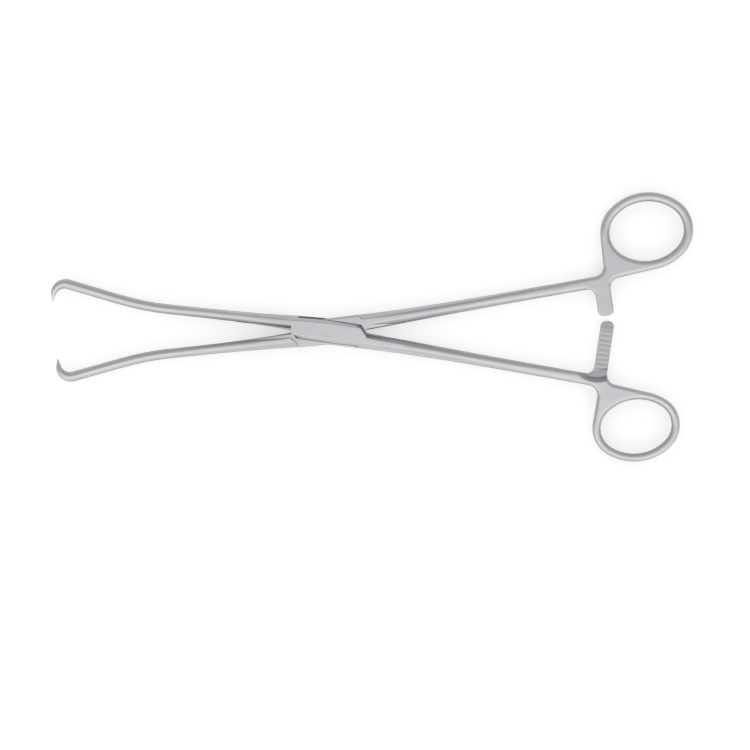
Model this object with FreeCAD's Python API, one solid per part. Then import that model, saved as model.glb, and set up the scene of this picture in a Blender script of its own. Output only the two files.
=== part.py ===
import FreeCAD, Part
import math
import os
from FreeCAD import Vector

# Tenaculum forceps with a box lock, lying flat. Millimetres and degrees.
# The origin is on the lock pin's axis, in the plane of the lock's lower face. X runs along the
# instrument, from the hooks (-X) to the finger rings (+X), and Z is up.
# Both halves are drawn closed, with the jaw above the X axis and the shank below it. The tongue
# half is the mirror image of that drawing, and then each half is turned to the resting spread.

resting_spread = 12.0         # angle by which the forceps are open at rest

# The lock
lock_thickness = 6.5
cheek_back = 14.5             # pin axis to the jaw end of the cheeks
cheek_front = 15.0            # pin axis to the shank end of the cheeks
cheek_slant = 3.0             # how far the slanting end of a cheek runs along X
lock_half_width = 5.0
lock_front_drop = 0.5         # how much the lock's edge has curved in at the shank end
lock_back_drop = 0.4          # the same at the jaw end
lock_flank = 2.0              # width of the 45 degree flanks along the lock
cheek_end_bevel = 1.1
slot_height = 3.0
slot_lift = 0.35              # slot above mid-height: the upper cheek is the thinner one
tongue_play = 0.06            # above and below the tongue
shoulder_play = 0.15          # in plan, between shoulders and cheeks
pin_diameter = 3.2
pin_play = 0.03               # radial, in the tongue only: the pin is tight in the cheeks
pin_head_diameter = 4.2
pin_head_depth = 0.6

# The jaws
jaw_root_width = 5.65
jaw_diameter = 3.75           # the slender part is a round rod
jaw_line = 2.1                # distance of a closed jaw's centre line from the X axis
jaw_root_line = 1.88          # the same at the lock
jaw_taper = 2.6               # power by which the jaw narrows from the lock to the round rod
jaw_stations = 8              # cross sections between the lock and the rod
jaw_bend_start = 62.0         # pin axis to the outward bend
jaw_bend_radius = 110.0
bend_stations = 4             # straight pieces in the bend
box_jaw_bend = 10.5           # bent by hand, so the two jaws differ a little
tongue_jaw_bend = 9.7
hook_radius = 4.6
hook_point_length = 2.8       # straight end of the hook
hook_point_width = 0.3
hook_taper = 1.9              # power by which the hook thins towards its point
hook_stations = 6
box_hook_reach = 108.4        # pin axis to the outermost point of the hook
tongue_hook_reach = 106.3

# The shanks
shank_root_width = 6.2
shank_width = 4.4
shank_thickness = 4.4
shank_line = 0.66             # the shank's centre line misses the pin axis by this
shank_angle = 4.05            # slope of a closed shank
shank_root_drop = 0.4         # extra offset of the centre line at the lock
shank_taper_length = 60.0
shank_crown = 30.0            # how far the faces of the shank turn, so that they bulge
shank_stations = 14           # cross sections of the shank's loft
shank_length = 102.0          # pin axis to the web that carries the ring and the ratchet bar

# The finger rings, and the web between ring and shank. Each ring is an oval of four arcs, and
# is placed from the end of its shank.
ring_edge_round = 1.4
hole_round_steps = 3          # flats in each quarter round of a ring's hole
neck_round = 4.0
web_round = 4.0
web_rise = 2.2                # top of the web above the ring
web_shoulder = 2.6            # how far the web runs up beside the ratchet bar
box_ring_along = 20.7
box_ring_out = 16.3
box_hole_length = 27.8
box_hole_width = 21.0
box_hole_end = 8.6            # radius of the hole's ends
box_ring_band = 3.05
box_ring_tilt = 13.5
box_neck = 5.0                # end of the shank to the neck's edge
tongue_ring_along = 25.0
tongue_ring_out = 17.9
tongue_hole_length = 29.1
tongue_hole_width = 23.2
tongue_hole_end = 9.9
tongue_ring_band = 3.45
tongue_ring_tilt = -1.5
tongue_neck = 7.1

# The ratchet bars
bar_lean = 2.5                # lean of the bars towards the rings
bar_play = 0.05               # from mid-height to each bar's tooth crests
bar_tip_round = 2.1
bar_root_flare = 3.4
bar_edge_bevel = 0.35
tooth_pitch = 1.88
tooth_depth = 0.65
tooth_undercut = 0.1
lead_in_length = 2.2
lead_in_land = 1.0            # flat between the last crest and the lead-in
lead_in_depth = 1.1
milled_root_radius = 10.8     # round pocket that the catch's tip enters when closed
milled_root_past = 0.55       # deepest point of that pocket past the shank's centre line
milled_root_offset = 2.3
milled_root_draft = 42.0      # slope of the pocket's wall from upright
lap_play = 0.5                # around the toothed bar where it passes under the tongue half
box_bar_place = 5.0           # end of the shank to the bar's middle
box_bar_width = 5.1
box_bar_tip = 15.4            # how far the closed bar reaches past the X axis
box_bar_teeth = 10
tongue_bar_place = 5.8
tongue_bar_width = 6.0
tongue_bar_tip = 5.2
tongue_bar_teeth = 4

mid = lock_thickness / 2
up = Vector(0, 0, 1)
run_out = 40.0                # how far the cutters run out of the work
box_bar_x = shank_length + box_bar_place
tongue_bar_x = shank_length + tongue_bar_place


def polar(angle, length=1.0):
    return Vector(math.cos(math.radians(angle)), math.sin(math.radians(angle)), 0) * length


def line(a, b):
    return Part.LineSegment(a, b).toShape()


def arc(a, b, c):
    return Part.Arc(a, b, c).toShape()


def blend(start, end, amount):
    return start + (end - start) * amount


def prism(edges, low, high):
    """A plan outline, raised from the height low to the height high."""
    face = Part.Face(Part.Wire(edges))
    face.translate(up * low)
    return face.extrude(up * (high - low))


def polygon(points):
    return [line(a, b) for a, b in zip(points, points[1:] + points[:1])]


def rounded_corner(before, corner, after, radius):
    """The arc that rounds a corner, and its two ends."""
    a = (before - corner).normalize()
    b = (after - corner).normalize()
    half = a.getAngle(b) / 2
    run = radius / math.tan(half)
    centre = corner + (a + b).normalize() * (radius / math.sin(half))
    middle = centre + (corner - centre).normalize() * radius
    start, end = corner + a * run, corner + b * run
    return start, arc(start, middle, end), end


def bowed(start, end, outward, turn):
    """An edge from start to end: a line, or an arc that bows outward and turns by an angle."""
    if turn < 0.5:
        return line(start, end)
    rise = (end - start).Length / 2 * math.tan(math.radians(turn / 4))
    return arc(start, (start + end) * 0.5 + outward * rise, end)


def section(centre, across, width, thickness, flank, flat_turn, flank_turn):
    """A cross section of eight edges: four flats, and four flanks at 45 degrees between them.

    Turns of 0 give a bevelled bar, 0 and 90 a bar with rounded edges, and 45 and 45 a round rod.
    """
    bulge = math.tan(math.radians(flat_turn / 4))
    wide, tall = width / 2 + bulge * flank, thickness / 2 + bulge * flank
    half_w = (wide - bulge * tall) / (1 - bulge ** 2)
    half_t = (tall - bulge * wide) / (1 - bulge ** 2)
    edges = []
    for side, top in ((1, 1), (-1, 1), (-1, -1), (1, -1)):
        sideways, upwards = across * side, up * top
        on_side = centre + sideways * half_w + upwards * (half_t - flank)
        on_top = centre + sideways * (half_w - flank) + upwards * half_t
        next_top = centre - sideways * (half_w - flank) + upwards * half_t
        next_side = centre + sideways * half_w - upwards * (half_t - flank)
        outward = (sideways + upwards).normalize()
        if side == top:
            edges.append(bowed(on_side, on_top, outward, flank_turn))
            edges.append(bowed(on_top, next_top, upwards, flat_turn))
        else:
            edges.append(bowed(on_top, on_side, outward, flank_turn))
            edges.append(bowed(on_side, next_side, sideways, flat_turn))
    return Part.Wire(edges)


def disc(centre, heading, diameter):
    return Part.Wire(Part.makeCircle(diameter / 2, centre, heading))


def skin(sections):
    """A smooth solid through cross sections."""
    return Part.makeLoft(sections, True, False, False, 3)


def ease(amount):
    """From 1 to 0 as the amount goes from 0 to 1, level at both ends."""
    return (1 - amount) ** 2 * (1 + 2 * amount)


def jaw(hook_reach, bend_angle):
    """The jaw: from the lock it slims to a round rod, bends outward and ends in a sharp hook."""
    round_flank = jaw_diameter / 2 * (math.cos(math.pi / 8) - math.sin(math.pi / 8))
    sections = []
    for station in range(jaw_stations + 1):
        u = station / jaw_stations
        narrowing, thinning = (1 - u) ** jaw_taper, ease(u)
        place = Vector(
            blend(-cheek_back, -jaw_bend_start, u), blend(jaw_line, jaw_root_line, narrowing),
            mid)
        sections.append(section(
            place, Vector(0, 1, 0), blend(jaw_diameter, jaw_root_width, narrowing),
            blend(jaw_diameter, lock_thickness, thinning),
            blend(round_flank, lock_flank, narrowing), 45 * u, 45 * u))
    taper = skin(sections)

    rod_start = Vector(-jaw_bend_start, jaw_line, mid)
    bend_centre = rod_start + Vector(0, jaw_bend_radius, 0)
    heading = 180 - bend_angle
    bend = []
    for station in range(bend_stations + 1):
        angle = bend_angle * station / bend_stations
        bend_end = bend_centre + polar(-90 - angle, jaw_bend_radius)
        bend.append(disc(bend_end, polar(180 - angle), jaw_diameter))
    hook_turn = 90 + bend_angle
    curve_length = math.radians(hook_turn) * hook_radius
    hook_length = curve_length + hook_point_length

    def thinned(done):
        return blend(jaw_diameter, hook_point_width, (done / hook_length) ** hook_taper)

    centre_x = hook_radius + thinned(curve_length) / 2 - hook_reach
    hook_start_x = centre_x + hook_radius * math.cos(math.radians(heading - 90))
    run = (hook_start_x - bend_end.x) / math.cos(math.radians(heading))
    hook_start = bend_end + polar(heading, run)
    straight = Part.makeCylinder(jaw_diameter / 2, run, bend_end, polar(heading))

    centre = hook_start + polar(heading + 90, hook_radius)
    rings = []
    for station in range(hook_stations + 1):
        angle = hook_turn * station / hook_stations
        place = centre + polar(heading - 90 + angle, hook_radius)
        rings.append(disc(place, polar(heading + angle), thinned(math.radians(angle) * hook_radius)))
    point = centre - Vector(hook_radius, hook_point_length, 0)
    half_way = point + Vector(0, hook_point_length / 2, 0)
    rings.append(disc(half_way, Vector(0, -1, 0), thinned(hook_length - hook_point_length / 2)))
    rings.append(disc(point, Vector(0, -1, 0), hook_point_width))
    arm = taper.fuse(Part.makeLoft(bend, True, True)).fuse(straight)
    return arm.fuse(skin(rings))


def shank_middle(x):
    slack = max(0.0, 1 - (x - cheek_front) / shank_taper_length)
    return -shank_line - math.tan(math.radians(shank_angle)) * x - shank_root_drop * slack ** 4


def shank(band):
    end_across = polar(-90 - shank_angle)
    sections = []
    for station in range(shank_stations + 1):
        done = station / shank_stations
        x = blend(cheek_front, shank_length, done)
        u = min(1.0, (x - cheek_front) / shank_taper_length)
        across = blend(Vector(0, -1, 0), end_across, done).normalize()
        crown = shank_crown * math.sin(math.pi * done)
        sections.append(section(
            Vector(x, shank_middle(x), mid), across,
            blend(shank_width, shank_root_width, (1 - u) ** 2),
            blend(shank_thickness, lock_thickness, ease(u)),
            blend(edge_round(band), lock_flank, 1 - u), crown, (90 - crown) * u))
    return skin(sections)


def lock_block():
    """The lock's full width, with slanting ends and 45 degree flanks."""
    jaw_inner = jaw_root_line - jaw_root_width / 2
    jaw_outer = jaw_root_line + jaw_root_width / 2
    shank_inner = shank_middle(cheek_front) + shank_root_width / 2
    shank_outer = shank_middle(cheek_front) - shank_root_width / 2
    a = Vector(-cheek_back, jaw_outer, 0)
    b = Vector(cheek_front - cheek_slant, lock_half_width - lock_front_drop, 0)
    c = Vector(cheek_front, shank_inner, 0)
    d = Vector(cheek_front, shank_outer, 0)
    e = Vector(-cheek_back + cheek_slant, -lock_half_width + lock_back_drop, 0)
    f = Vector(-cheek_back, jaw_inner, 0)
    top = arc(a, Vector(0, lock_half_width, 0), b)
    bottom = arc(d, Vector(0, -lock_half_width, 0), e)
    block = prism([top, line(b, c), line(c, d), bottom, line(e, f), line(f, a)], 0, lock_thickness)
    long_edges = []
    end_edges = []
    for edge in block.Edges:
        middle = edge.valueAt((edge.FirstParameter + edge.LastParameter) / 2)
        level = min(abs(middle.z), abs(middle.z - lock_thickness)) < 0.01
        if level and abs(middle.y) > lock_half_width * 0.9:
            long_edges.append(edge)
        if level and middle.x > cheek_front - cheek_slant and abs(middle.x - cheek_front) > 0.1:
            end_edges.append(edge)
    block = block.makeChamfer(cheek_end_bevel, end_edges)
    long_edges = [edge for edge in block.Edges if any(
        (edge.CenterOfMass - other.CenterOfMass).Length < 1.5 and edge.BoundBox.ZLength < 0.01
        and edge.Length > 15 for other in long_edges)]
    return block.makeChamfer(lock_flank, long_edges)


def oval(centre, length, width, end_radius, tilt, offset):
    """Four tangent arcs around a centre, moved outward by an offset.

    Each is a centre, a radius, and the headings of its outward normal at the start and the end.
    """
    side_radius = (length ** 2 / 4 + width ** 2 / 4 - length * end_radius) / (width - 2 * end_radius)
    along = length / 2 - end_radius
    aside = side_radius - width / 2
    corner = math.degrees(math.atan2(aside, along))
    arcs = []
    for heading, distance, radius, spread in (
            (0, along, end_radius, corner), (90, -aside, side_radius, 90 - corner),
            (180, along, end_radius, corner), (270, -aside, side_radius, 90 - corner)):
        middle = tilt + heading
        arcs.append((
            centre + polar(middle, distance), radius + offset, middle - spread, middle + spread))
    return arcs


def oval_edges(arcs, start, end):
    """The oval's edges counter-clockwise, from one heading of its normal to another."""
    edges = []
    for turn in (-360, 0, 360):
        for centre, radius, first, last in arcs:
            low, high = max(first + turn, start), min(last + turn, end)
            if high - low > 0.01:
                edges.append(arc(
                    centre + polar(low, radius), centre + polar((low + high) / 2, radius),
                    centre + polar(high, radius)))
    return edges


def touch(arcs, point, side):
    """Where a line from the point touches the oval, as a heading of its normal and a place."""
    for centre, radius, first, last in arcs:
        away = point - centre
        heading = math.degrees(math.atan2(away.y, away.x) + side * math.acos(radius / away.Length))
        heading = first + (heading - first) % 360
        if heading <= last:
            return heading, centre + polar(heading, radius)


def bar_edge(bar_x, width, side, y):
    """A point on the left (-1) or right (1) edge of a ratchet bar."""
    lean = math.radians(bar_lean)
    return Vector(bar_x + y * math.tan(lean) + side * width / 2 / math.cos(lean), y, 0)


def shank_end():
    return Vector(shank_length, shank_middle(shank_length), 0)


def edge_round(band):
    """The rounding of a handle's edges, which its ring limits."""
    return min(ring_edge_round, 0.47 * band)


def rounded_hole(centre, length, width, end_radius, tilt, edge_radius):
    """What is cut out for a finger: an oval whose edges widen to the faces in a quarter round."""
    wires = []
    for side in (-1, 1):
        for step in range(hole_round_steps + 1):
            angle = math.radians(90 * (step if side > 0 else hole_round_steps - step) / hole_round_steps)
            widening = edge_radius * (1 - math.cos(angle))
            arcs = oval(centre, length, width, end_radius, tilt, widening)
            wire = Part.Wire(oval_edges(arcs, arcs[0][2], arcs[0][2] + 360))
            wire.translate(up * (mid + side * (
                shank_thickness / 2 - edge_radius * (1 - math.sin(angle)))))
            wires.append(wire)
    return Part.makeLoft(wires, True, True)


def handle(opening, rim, band, rim_top, neck, bar_x, bar_width):
    """The finger ring with its neck and web, up to the end of the shank."""
    end = shank_end()
    start_in = end + polar(90 - shank_angle, shank_width / 2)
    start_out = end + polar(-90 - shank_angle, shank_width / 2)
    slope = math.tan(math.radians(shank_angle))
    neck_corner = start_out + Vector(neck, -slope * neck, 0)
    web_top = bar_edge(bar_x, bar_width, 1, start_in.y + web_shoulder)
    web_corner = bar_edge(bar_x, bar_width, 1, rim_top + web_rise)
    neck_heading, neck_end = touch(rim, neck_corner, 1)
    web_heading, web_end = touch(rim, web_corner, -1)
    neck_in, neck_arc, neck_out = rounded_corner(start_out, neck_corner, neck_end, neck_round)
    web_in, web_arc, web_out = rounded_corner(web_end, web_corner, web_top, web_round)
    outline = [
        line(start_in, start_out), line(start_out, neck_in), neck_arc, line(neck_out, neck_end),
        *oval_edges(rim, neck_heading, neck_heading + (web_heading - neck_heading) % 360),
        line(web_end, web_in), web_arc, line(web_out, web_top), line(web_top, start_in)]
    low, high = mid - shank_thickness / 2, mid + shank_thickness / 2
    body = prism(outline, low, high)
    rounded = []
    for edge in body.Edges:
        middle = edge.valueAt((edge.FirstParameter + edge.LastParameter) / 2)
        level = abs(abs(middle.z - mid) - shank_thickness / 2) < 0.01
        at_shank = (Vector(middle.x, middle.y, 0) - end).Length < 0.01
        at_bar = (Vector(middle.x, middle.y, 0) - (web_top + start_in) * 0.5).Length < 0.01
        if level and not at_shank and not at_bar:
            rounded.append(edge)
    return body.makeFillet(edge_round(band), rounded).cut(opening)


def ratchet_bar(bar_x, width, tip, teeth):
    """A toothed bar below mid-height, with its teeth on top."""
    low, high = mid - shank_thickness / 2, mid - bar_play
    root_y = shank_middle(bar_x) + shank_width / 2
    left_root = bar_edge(bar_x, width, -1, root_y)
    left_tip = bar_edge(bar_x, width, -1, tip)
    right_tip = bar_edge(bar_x, width, 1, tip)
    right_root = bar_edge(bar_x, width, 1, root_y - shank_width / 2)
    on_shank = Vector(left_root.x - bar_root_flare * 2, root_y + 0.5, 0)
    flare_in, flare, flare_out = rounded_corner(on_shank, left_root, left_tip, bar_root_flare)
    left_in, left_arc, left_out = rounded_corner(left_root, left_tip, right_tip, bar_tip_round)
    right_in, right_arc, right_out = rounded_corner(left_tip, right_tip, right_root, bar_tip_round)
    inside = Vector(flare_in.x, right_root.y, 0)
    bar = prism(
        [line(inside, flare_in), flare, line(flare_out, left_in), left_arc, line(left_out, right_in),
         right_arc, line(right_out, right_root), line(right_root, inside)], low, high)
    rims = [edge for edge in bar.Edges
            if edge.BoundBox.ZLength < 0.01 and edge.CenterOfMass.y > root_y + bar_root_flare / 3]
    bar = bar.makeChamfer(bar_edge_bevel, rims)

    along = polar(90 - bar_lean)
    across = polar(-bar_lean)

    def spot(s, height):
        return Vector(bar_x, 0, high + height) + along * s - across * width

    last_crest = tip - lead_in_length - lead_in_land
    first_crest = last_crest - (teeth - 1) * tooth_pitch
    saw = [spot(first_crest, 1)]
    for tooth in range(teeth):
        crest = first_crest + tooth * tooth_pitch
        saw.append(spot(crest, 0))
        if tooth < teeth - 1:
            saw.append(spot(crest + tooth_pitch - tooth_undercut, -tooth_depth))
    saw.append(spot(last_crest, 1))
    lead_in = [
        spot(tip - lead_in_length, 0), spot(tip + lead_in_length, -2 * lead_in_depth),
        spot(tip + lead_in_length, 1), spot(tip - lead_in_length, 1)]
    for outline in (saw, lead_in):
        bar = bar.cut(Part.Face(Part.Wire(polygon(outline))).extrude(across * (2 * width)))
    return bar


def passage(low, high):
    """The plan that the other half's lock fills when closed, with play, between two heights."""
    jaw_inner = jaw_root_width / 2 - jaw_root_line + shoulder_play
    shank_inner = shank_middle(cheek_front) + shank_root_width / 2 + shoulder_play
    side = shoulder_play * 1.3
    wide = lock_half_width * 1.8
    rise = wide - jaw_inner
    back_run = cheek_slant * rise / (lock_half_width - lock_back_drop - jaw_inner)
    front_run = cheek_slant * (wide - shank_inner) / (lock_half_width - lock_front_drop - shank_inner)
    shank_rise = math.tan(math.radians(shank_angle)) * (run_out - cheek_front - side)
    outline = [
        Vector(-run_out, 0, 0), Vector(-cheek_back - side, jaw_inner, 0),
        Vector(-cheek_back - side + back_run, wide, 0), Vector(run_out, wide, 0),
        Vector(run_out, shank_rise - shank_inner, 0), Vector(cheek_front + side, -shank_inner, 0),
        Vector(cheek_front + side - front_run, -wide, 0), Vector(-run_out, -wide, 0)]
    return prism(polygon(outline), low, high)


def half(hook_reach, bend_angle, centre, hole_length, hole_width, hole_end, band, tilt, neck,
         bar_x, bar_width):
    """What both halves share: jaw, lock, shank and ring."""
    opening = rounded_hole(centre, hole_length, hole_width, hole_end, tilt, edge_round(band))
    rim = oval(centre, hole_length, hole_width, hole_end, tilt, band)
    rim_top = centre.y + hole_width / 2 + band
    arm = jaw(hook_reach, bend_angle)
    arm = arm.fuse(lock_block())
    arm = arm.fuse(shank(band))
    return arm.fuse(handle(opening, rim, band, rim_top, neck, bar_x, bar_width))


def pin():
    radius, head = pin_diameter / 2, pin_head_diameter / 2
    side = [
        Vector(0, 0, 0), Vector(head, 0, 0), Vector(radius, 0, pin_head_depth),
        Vector(radius, 0, lock_thickness - pin_head_depth), Vector(head, 0, lock_thickness),
        Vector(0, 0, lock_thickness)]
    return Part.Face(Part.Wire(polygon(side))).revolve(Vector(0, 0, 0), up, 360)


def box_half():
    centre = shank_end() + Vector(box_ring_along, -box_ring_out, 0)
    arm = half(
        box_hook_reach, box_jaw_bend, centre, box_hole_length, box_hole_width, box_hole_end,
        box_ring_band, box_ring_tilt, box_neck, box_bar_x, box_bar_width)
    slot_middle = mid + slot_lift
    arm = arm.cut(passage(slot_middle - slot_height / 2, slot_middle + slot_height / 2))
    arm = arm.cut(pin())
    deepest = shank_middle(box_bar_x) - milled_root_past
    slope = math.tan(math.radians(milled_root_draft))
    floor = mid - bar_play
    shank_top = mid + shank_thickness / 2
    pocket = Part.makeCone(
        milled_root_radius - slope * (shank_top - floor), milled_root_radius + slope * shank_top,
        2 * shank_top - floor,
        Vector(box_bar_x - milled_root_offset, deepest + milled_root_radius, floor))
    arm = arm.cut(pocket)
    arm = arm.fuse(ratchet_bar(box_bar_x, box_bar_width, box_bar_tip, box_bar_teeth))
    arm.rotate(Vector(0, 0, 0), up, -resting_spread / 2)
    return arm


def tongue_half():
    centre = shank_end() + Vector(tongue_ring_along, -tongue_ring_out, 0)
    arm = half(
        tongue_hook_reach, tongue_jaw_bend, centre, tongue_hole_length, tongue_hole_width,
        tongue_hole_end, tongue_ring_band, tongue_ring_tilt, tongue_neck, tongue_bar_x,
        tongue_bar_width)
    tongue_low = mid + slot_lift - slot_height / 2 + tongue_play
    tongue_high = mid + slot_lift + slot_height / 2 - tongue_play
    arm = arm.cut(passage(-1, tongue_low))
    arm = arm.cut(passage(tongue_high, lock_thickness + 1))
    arm = arm.cut(Part.makeCylinder(pin_diameter / 2 + pin_play, lock_thickness))

    lap_left = box_bar_x - box_bar_width / 2 - lap_play
    lap_radius = math.hypot(box_bar_x + box_bar_width / 2, box_bar_tip) + lap_play
    lap_end = box_bar_tip + lap_play
    lap_low = mid - shank_thickness
    lap = Part.makeCylinder(lap_radius, shank_thickness + bar_play, Vector(0, 0, lap_low))
    lap = lap.common(Part.makeBox(
        run_out, lap_end, lock_thickness, Vector(lap_left, -lap_end, lap_low)))
    arm = arm.cut(lap)

    catch = ratchet_bar(tongue_bar_x, tongue_bar_width, tongue_bar_tip, tongue_bar_teeth)
    arm = arm.fuse(catch.mirror(Vector(0, 0, mid), up))
    arm = arm.mirror(Vector(0, 0, 0), Vector(0, 1, 0))
    arm.rotate(Vector(0, 0, 0), up, resting_spread / 2)
    return arm


if __name__ == "__main__":
    os.makedirs("parts", exist_ok=True)
    pieces = {"box_half": box_half(), "tongue_half": tongue_half(), "lock_pin": pin()}
    for name, shape in pieces.items():
        solid = shape.removeSplitter()
        print(name, solid.isValid(), len(solid.Solids), round(solid.Volume, 1))
        solid.exportStep("parts/" + name + ".step")
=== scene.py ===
import math

import bpy
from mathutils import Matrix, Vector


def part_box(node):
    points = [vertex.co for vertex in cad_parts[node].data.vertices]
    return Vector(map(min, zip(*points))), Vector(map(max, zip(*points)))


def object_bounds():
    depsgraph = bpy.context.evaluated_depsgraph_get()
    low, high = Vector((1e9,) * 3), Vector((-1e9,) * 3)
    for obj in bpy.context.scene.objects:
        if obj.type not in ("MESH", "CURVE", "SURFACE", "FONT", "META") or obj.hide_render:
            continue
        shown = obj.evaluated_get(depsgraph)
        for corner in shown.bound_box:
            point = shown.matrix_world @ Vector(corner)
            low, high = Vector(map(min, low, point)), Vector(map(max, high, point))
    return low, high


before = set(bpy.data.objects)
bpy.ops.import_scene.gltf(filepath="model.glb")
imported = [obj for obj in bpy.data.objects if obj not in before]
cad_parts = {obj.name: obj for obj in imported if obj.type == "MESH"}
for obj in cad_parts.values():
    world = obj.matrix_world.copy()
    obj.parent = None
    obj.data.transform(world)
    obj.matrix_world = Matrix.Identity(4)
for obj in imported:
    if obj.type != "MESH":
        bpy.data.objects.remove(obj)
cad_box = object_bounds()
bpy.ops.object.select_all(action="DESELECT")


# Camera
# The forceps were photographed from straight above, with a long lens. The picture is 291 mm wide
# at the height of the shanks, and its centre lies beside the lock, towards the rings and below.
picture_width = 0.291
picture_centre_x = 0.0182
picture_centre_y = -0.0169
camera_height = 1.4
sensor_width = 36.0
farthest_seen = 10.0
box_low, box_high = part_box("box_half")
shank_height = (box_low[2] + box_high[2]) / 2

bpy.ops.object.camera_add(
    location=(picture_centre_x, picture_centre_y, shank_height + camera_height), rotation=(0, 0, 0))
camera = bpy.context.object
camera.name = "camera"
camera.data.sensor_width = sensor_width
camera.data.lens = sensor_width * camera_height / picture_width
camera.data.clip_end = farthest_seen
bpy.context.scene.camera = camera
bpy.context.scene.view_settings.view_transform = "Standard"


# Box half
# The female half, forged in one piece: hooked upper jaw, slotted lock with two cheeks, lower
# shank, finger ring and the long toothed bar. It is surgical steel, blasted to a dull satin and
# drawn lengthwise over a fine belt, and its lock is ground flat with the rivet in place.
steel_colour = (0.72, 0.73, 0.75)
glancing_colour = (0.65, 0.66, 0.68, 1)
half_spread = math.radians(6)      # each half is turned this far from the closed position
lock_thickness = box_high[2] - box_low[2]
lock_reach = 0.018                 # from the pin, as far as the lock's faces are ground
slot_floor = 0.0021
slot_edge = (0.0028, 0.0034)       # where the open side of the slot starts, across the lock
forged_edge = 0.0007
cut_edge = 0.0003
hollow_shade_width = 0.003
edge_samples = 8
off_on = (0, 1)
on_off = (1, 0)


def feed(tree, socket, value):
    """Give a socket a number, or link it to another socket."""
    if isinstance(value, bpy.types.NodeSocket):
        tree.links.new(value, socket)
    else:
        socket.default_value = value


def new_group(name, inputs, outputs):
    """An empty shader node group with float inputs, and outputs given as (name, type)."""
    group = bpy.data.node_groups.new(name, "ShaderNodeTree")
    for label, value in inputs:
        socket = group.interface.new_socket(
            name=label, in_out="INPUT", socket_type="NodeSocketFloat")
        socket.default_value = value
    for label, kind in outputs:
        group.interface.new_socket(name=label, in_out="OUTPUT", socket_type=kind)
    given = group.nodes.new("NodeGroupInput").outputs
    result = group.nodes.new("NodeGroupOutput").inputs
    return group, given, result


def place_group(tree, group, values):
    """The outputs of a group that is placed in a material with its own values."""
    node = tree.nodes.new("ShaderNodeGroup")
    node.node_tree = group
    for label, value in values.items():
        feed(tree, node.inputs[label], value)
    return node.outputs


def calculate(tree, operation, first, second=0):
    """The output of a math node, whose inputs are sockets or numbers."""
    node = tree.nodes.new("ShaderNodeMath")
    node.operation = operation
    feed(tree, node.inputs[0], first)
    feed(tree, node.inputs[1], second)
    return node.outputs["Value"]


def between(tree, value, measured, wanted):
    """A value mapped from one range to another, and kept inside it."""
    node = tree.nodes.new("ShaderNodeMapRange")
    feed(tree, node.inputs["Value"], value)
    for label, number in zip(("From Min", "From Max", "To Min", "To Max"), (*measured, *wanted)):
        node.inputs[label].default_value = number
    return node.outputs["Result"]


def distance(tree, value, middle):
    """How far a value lies from another, without its sign."""
    return calculate(tree, "ABSOLUTE", calculate(tree, "SUBTRACT", value, middle))


def split(tree, vector):
    """The X, Y and Z sockets of a vector."""
    node = tree.nodes.new("ShaderNodeSeparateXYZ")
    tree.links.new(vector, node.inputs["Vector"])
    return node.outputs


def object_place(tree):
    """The place on the piece, in its own coordinates."""
    return tree.nodes.new("ShaderNodeTexCoord").outputs["Object"]


def turned(tree, place, angle):
    """A place turned about the pin, so that X runs along the half."""
    node = tree.nodes.new("ShaderNodeVectorRotate")
    node.rotation_type = "Z_AXIS"
    tree.links.new(place, node.inputs["Vector"])
    tree.links.new(angle, node.inputs["Angle"])
    return node.outputs["Vector"]


def noise(tree, place, scale, detail, lengthwise=1):
    """Noise that is drawn out along X where its lengthwise scale is under 1."""
    mapping = tree.nodes.new("ShaderNodeMapping")
    mapping.inputs["Scale"].default_value = (lengthwise, 1, 1)
    tree.links.new(place, mapping.inputs["Vector"])
    node = tree.nodes.new("ShaderNodeTexNoise")
    node.inputs["Scale"].default_value = scale
    node.inputs["Detail"].default_value = detail
    tree.links.new(mapping.outputs["Vector"], node.inputs["Vector"])
    return node.outputs["Fac"]


def satin_grain():
    """The surface left by blasting, by the belt and by handling."""
    group, given, result = new_group(
        "satin_grain", [("Lengthwise angle", 0.0)],
        [("Height", "NodeSocketFloat"), ("Patches", "NodeSocketFloat"),
         ("Scratches", "NodeSocketFloat")])
    place = object_place(group)
    along = turned(group, place, given["Lengthwise angle"])

    belt_share = 0.8
    blasted = noise(group, place, scale=9000, detail=3)
    belted = noise(group, along, scale=3200, detail=2, lengthwise=0.05)
    height = calculate(group, "ADD", blasted, calculate(group, "MULTIPLY", belted, belt_share))
    group.links.new(height, result["Height"])

    smear_share = 0.5
    patch_range = (0.55, 0.95)
    handled = noise(group, place, scale=55, detail=4)
    smears = noise(group, along, scale=420, detail=3, lengthwise=0.12)
    patches = calculate(group, "ADD", handled, calculate(group, "MULTIPLY", smears, smear_share))
    group.links.new(between(group, patches, patch_range, off_on), result["Patches"])

    hairline_range = (0.68, 0.76)
    scratched_range = (0.5, 0.62)
    hairlines = noise(group, along, scale=5200, detail=0, lengthwise=0.025)
    hairlines = between(group, hairlines, hairline_range, off_on)
    scratched = between(group, handled, scratched_range, off_on)
    group.links.new(calculate(group, "MULTIPLY", hairlines, scratched), result["Scratches"])
    return group


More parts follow.
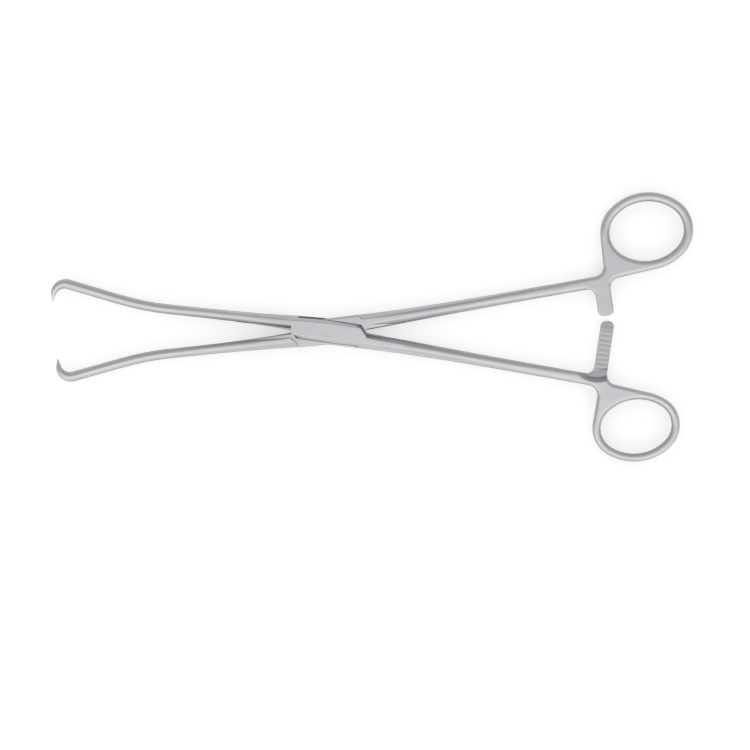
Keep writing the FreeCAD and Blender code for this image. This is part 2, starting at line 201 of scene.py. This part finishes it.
def machined_faces():
    """Masks for what a tool has cut, found by height, place and slope, and the tool's lines."""
    group, given, result = new_group(
        "machined_faces", [("Lengthwise angle", 0.0)],
        [("Ground", "NodeSocketFloat"), ("Milled", "NodeSocketFloat"),
         ("Teeth", "NodeSocketFloat"), ("Slot shade", "NodeSocketFloat"), ("Lines", "NodeSocketFloat")])
    along = turned(group, object_place(group), given["Lengthwise angle"])
    place = split(group, along)
    facing = split(group, group.nodes.new("ShaderNodeNewGeometry").outputs["Normal"])

    def of_thickness(low, high):
        return low * lock_thickness, high * lock_thickness

    level_range = (0.95, 0.99)
    from_middle = distance(group, place["Z"], lock_thickness / 2)
    flatness = distance(group, facing["Z"], 0)
    level = between(group, flatness, level_range, off_on)

    outer_range = of_thickness(0.494, 0.499)
    lock_range = (lock_reach, lock_reach * 1.2)
    outer_face = between(group, from_middle, outer_range, off_on)
    at_lock = between(group, distance(group, place["X"], 0), lock_range, on_off)
    group.links.new(calculate(group, "MULTIPLY", outer_face, at_lock), result["Ground"])

    # Level faces near mid-height are marked, and the steel's colour is drawn darker there.
    middle_range = of_thickness(0.02, 0.04)
    at_middle = between(group, from_middle, middle_range, on_off)
    group.links.new(calculate(group, "MULTIPLY", level, at_middle), result["Milled"])

    # Sloping tooth faces are marked; the steel's colour is drawn lighter there as painted light,
    # and their edges get the crisp rounding.
    tooth_range = of_thickness(0.11, 0.13)
    tooth_flatness = (0.80, 0.86)
    sloping = calculate(
        group, "MULTIPLY", between(group, flatness, tooth_flatness, off_on),
        calculate(group, "SUBTRACT", 1, level))
    at_teeth = between(group, from_middle, tooth_range, on_off)
    group.links.new(calculate(group, "MULTIPLY", sloping, at_teeth), result["Teeth"])

    # Painted shade: the upward face of the slot floor near the slot's open side is marked, and the
    # steel's colour is drawn much darker there.
    floor_range = (0.00003, 0.00012)
    at_floor = between(group, distance(group, place["Z"], slot_floor), floor_range, on_off)
    at_side = between(group, place["Y"], slot_edge, off_on)
    upwards = between(group, facing["Z"], level_range, off_on)
    slot_shade = calculate(group, "MULTIPLY", calculate(group, "MULTIPLY", at_floor, at_side), upwards)
    group.links.new(slot_shade, result["Slot shade"])

    group.links.new(noise(group, along, scale=5200, detail=2, lengthwise=0.03), result["Lines"])
    return group


def edges_and_painted_shade():
    """The normal over broken edges, and masks for edges and for the painted shade of side walls and
    hollows.
    """
    group, given, result = new_group(
        "edges_and_painted_shade", [("Edge radius", forged_edge), ("Hollow width", hollow_shade_width)],
        [("Normal", "NodeSocketVector"), ("Edge", "NodeSocketFloat"),
         ("Side", "NodeSocketFloat"), ("Hollow shade", "NodeSocketFloat")])
    broken_range = (0.995, 0.9)    # how far the rounded normal still agrees with the face's
    side_range = (0.3, 0.8)
    hollow_range = (0.1, 0.52)
    rounded = group.nodes.new("ShaderNodeBevel")
    rounded.samples = edge_samples
    group.links.new(given["Edge radius"], rounded.inputs["Radius"])
    normal = rounded.outputs["Normal"]
    group.links.new(normal, result["Normal"])

    sharp = group.nodes.new("ShaderNodeNewGeometry").outputs["Normal"]
    same = group.nodes.new("ShaderNodeVectorMath")
    same.operation = "DOT_PRODUCT"
    group.links.new(normal, same.inputs[0])
    group.links.new(sharp, same.inputs[1])
    group.links.new(between(group, same.outputs["Value"], broken_range, off_on), result["Edge"])

    # Painted shade: faces turned from upright towards the side are marked, and the steel's colour
    # is drawn darker there.
    flatness = distance(group, split(group, normal)["Z"], 0)
    group.links.new(between(group, flatness, side_range, on_off), result["Side"])

    # Painted shade: hollows, found by occlusion within the given width, are marked, and the steel's
    # colour is drawn darker there.
    open_air = group.nodes.new("ShaderNodeAmbientOcclusion")
    open_air.samples = edge_samples
    open_air.only_local = True
    group.links.new(given["Hollow width"], open_air.inputs["Distance"])
    group.links.new(between(group, open_air.outputs["AO"], hollow_range, on_off), result["Hollow shade"])
    return group


grain_group = satin_grain()
machined_group = machined_faces()
edge_and_shade_group = edges_and_painted_shade()


def satin_steel(name, lengthwise_angle, soft_edge, crisp_edge):
    """Blasted and belted steel, with crisp edges where it is cut and softer ones elsewhere, and
    painted shade and painted light in its colour.
    """
    material = bpy.data.materials.new(name)
    material.use_nodes = True
    tree = material.node_tree
    shader = tree.nodes["Principled BSDF"]
    shader.inputs["Metallic"].default_value = 1
    shader.inputs["Specular Tint"].default_value = glancing_colour

    grain = place_group(tree, grain_group, {"Lengthwise angle": lengthwise_angle})
    machined = place_group(tree, machined_group, {"Lengthwise angle": lengthwise_angle})
    cut = calculate(tree, "MAXIMUM", machined["Teeth"], machined["Milled"])
    cut = calculate(tree, "MAXIMUM", cut, machined["Ground"])
    edge_radius = between(tree, cut, off_on, (soft_edge, crisp_edge))
    edges = place_group(
        tree, edge_and_shade_group, {"Edge radius": edge_radius, "Hollow width": hollow_shade_width})

    clean_shade = (0.95, 1)
    darkest = 0.15
    # Painted highlight: the rounded edges of the teeth are drawn lighter.
    crest_highlight = calculate(tree, "MULTIPLY", edges["Edge"], machined["Teeth"])
    shade = between(tree, grain["Patches"], off_on, clean_shade)
    # The patches and scratches are the steel's own tone. Side walls, hollows and the slot floor get
    # painted shade, tooth slopes and crests painted light, and level faces near mid-height are
    # drawn darker.
    for mask, change in (
            (edges["Hollow shade"], -0.5), (edges["Side"], -0.55), (crest_highlight, 0.2),
            (machined["Milled"], -0.35), (machined["Teeth"], 0.25), (machined["Slot shade"], -0.7),
            (grain["Scratches"], -0.05)):
        shade = calculate(tree, "ADD", shade, calculate(tree, "MULTIPLY", mask, change))
    shade = calculate(tree, "MAXIMUM", shade, darkest)
    tint = tree.nodes.new("ShaderNodeVectorMath")
    tint.operation = "SCALE"
    tint.inputs["Vector"].default_value = steel_colour
    tree.links.new(shade, tint.inputs["Scale"])
    tree.links.new(tint.outputs["Vector"], shader.inputs["Base Color"])

    satin_roughness = (0.33, 0.28)
    roughness = between(tree, grain["Patches"], off_on, satin_roughness)
    for mask, change in (
            (machined["Ground"], -0.05), (edges["Edge"], -0.06), (edges["Side"], 0.06),
            (edges["Hollow shade"], 0.2)):
        roughness = calculate(tree, "ADD", roughness, calculate(tree, "MULTIPLY", mask, change))
    tree.links.new(roughness, shader.inputs["Roughness"])

    grain_strength = 0.25
    grain_depth = 0.00002
    height = tree.nodes.new("ShaderNodeMix")
    tree.links.new(machined["Ground"], height.inputs["Factor"])
    tree.links.new(grain["Height"], height.inputs["A"])
    tree.links.new(machined["Lines"], height.inputs["B"])
    bump = tree.nodes.new("ShaderNodeBump")
    bump.inputs["Strength"].default_value = grain_strength
    bump.inputs["Distance"].default_value = grain_depth
    tree.links.new(height.outputs["Result"], bump.inputs["Height"])
    tree.links.new(edges["Normal"], bump.inputs["Normal"])
    tree.links.new(bump.outputs["Normal"], shader.inputs["Normal"])
    return material


def finish_node(node, material):
    """Give a CAD node's own mesh its one material."""
    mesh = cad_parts[node].data
    mesh.materials.clear()
    mesh.materials.append(material)


finish_node("box_half", satin_steel("box_steel", half_spread, forged_edge, cut_edge))


# Tongue half
# The male half, forged in one piece: hooked lower jaw, the tongue that passes through the box,
# upper shank, the larger finger ring and the short catch. It is finished as the box half is, and
# turned the other way from the closed position.
finish_node("tongue_half", satin_steel("tongue_steel", -half_spread, forged_edge, cut_edge))


# Lock pin
# A steel rivet through both cheeks and the tongue, hammered into countersinks and ground flush
# with the lock, so that it can hardly be seen.
pin_edge = 0.00002
finish_node("lock_pin", satin_steel("rivet_steel", half_spread, pin_edge, pin_edge))


# Table and studio
# A white table under even white light and one weak lamp, inside a round tent of cloth that only
# the steel's reflections show. The cloth is pale overhead and towards the lower side of the
# picture, and grey along the upper side.
white = (1, 1, 1, 1)
black = (0, 0, 0, 1)
table_colour = (0.8, 0.8, 0.8, 1)
table_size = 6.0
ceiling_light = 0.76
table_glow = 0.45
matt_roughness = 0.9
tent_radius = 0.9
tent_shades = (                    # from the lower side of the picture, -1, to the upper one, 1
    (-1.0, 0.64), (-0.9, 0.84), (-0.6, 1.02), (-0.12, 1.02), (0.03, 0.87), (0.14, 0.50),
    (0.64, 0.49), (0.85, 0.43), (1.0, 0.34))
tent_end_glow = 0.65               # beyond the hooks and the rings, against 1 over the lock
lamp_place = (0, -0.8, 0.5)
lamp_tilt = math.radians(60)
lamp_length = 1.6
lamp_width = 0.6
lamp_power = 0.6


def matt(name, colour):
    """A dull, plain material without gloss, and its shader."""
    material = bpy.data.materials.new(name)
    material.use_nodes = True
    shader = material.node_tree.nodes["Principled BSDF"]
    shader.inputs["Base Color"].default_value = colour
    shader.inputs["Roughness"].default_value = matt_roughness
    shader.inputs["Specular IOR Level"].default_value = 0
    return material, shader


bpy.ops.mesh.primitive_plane_add(size=table_size, location=(0, 0, cad_box[0][2]))
table = bpy.context.object
table.name = "table"

table_material, table_shader = matt("white_table", table_colour)
tree = table_material.node_tree
rays = tree.nodes.new("ShaderNodeLightPath").outputs
seen = calculate(tree, "MAXIMUM", rays["Is Camera Ray"], rays["Is Glossy Ray"])
seen = calculate(tree, "MAXIMUM", seen, rays["Is Transmission Ray"])
glow = calculate(tree, "MULTIPLY", seen, table_glow)
table_shader.inputs["Emission Color"].default_value = white
tree.links.new(glow, table_shader.inputs["Emission Strength"])
table.data.materials.append(table_material)

world = bpy.data.worlds.new("studio")
world.use_nodes = True
bpy.context.scene.world = world
background = world.node_tree.nodes["Background"]
background.inputs["Color"].default_value = white
background.inputs["Strength"].default_value = ceiling_light

bpy.ops.mesh.primitive_uv_sphere_add(segments=64, ring_count=32, radius=tent_radius)
tent = bpy.context.object
tent.name = "tent"
tent.visible_camera = False
tent.visible_diffuse = False
tent.visible_shadow = False

tent_material, tent_shader = matt("tent_cloth", black)
tree = tent_material.node_tree
place = split(tree, object_place(tree))
shading = tree.nodes.new("ShaderNodeValToRGB")
ramp = shading.color_ramp
ramp.interpolation = "EASE"
for index, (side, shade) in enumerate(tent_shades):
    position = (side + 1) / 2
    if index < len(ramp.elements):
        element = ramp.elements[index]
        element.position = position
    else:
        element = ramp.elements.new(position)
    element.color = (shade, shade, shade, 1)
across = between(tree, place["Y"], (-tent_radius, tent_radius), off_on)
tree.links.new(across, shading.inputs["Fac"])
tree.links.new(shading.outputs["Color"], tent_shader.inputs["Emission Color"])
to_end = between(
    tree, distance(tree, place["X"], 0), (tent_radius * 0.5, tent_radius * 0.95),
    (1, tent_end_glow))
tree.links.new(to_end, tent_shader.inputs["Emission Strength"])
tent.data.materials.append(tent_material)

bpy.ops.object.light_add(type="AREA", location=lamp_place, rotation=(lamp_tilt, 0, 0))
lamp = bpy.context.object
lamp.name = "side_lamp"
lamp.data.shape = "RECTANGLE"
lamp.data.size = lamp_length
lamp.data.size_y = lamp_width
lamp.data.energy = lamp_power
lamp.visible_glossy = False
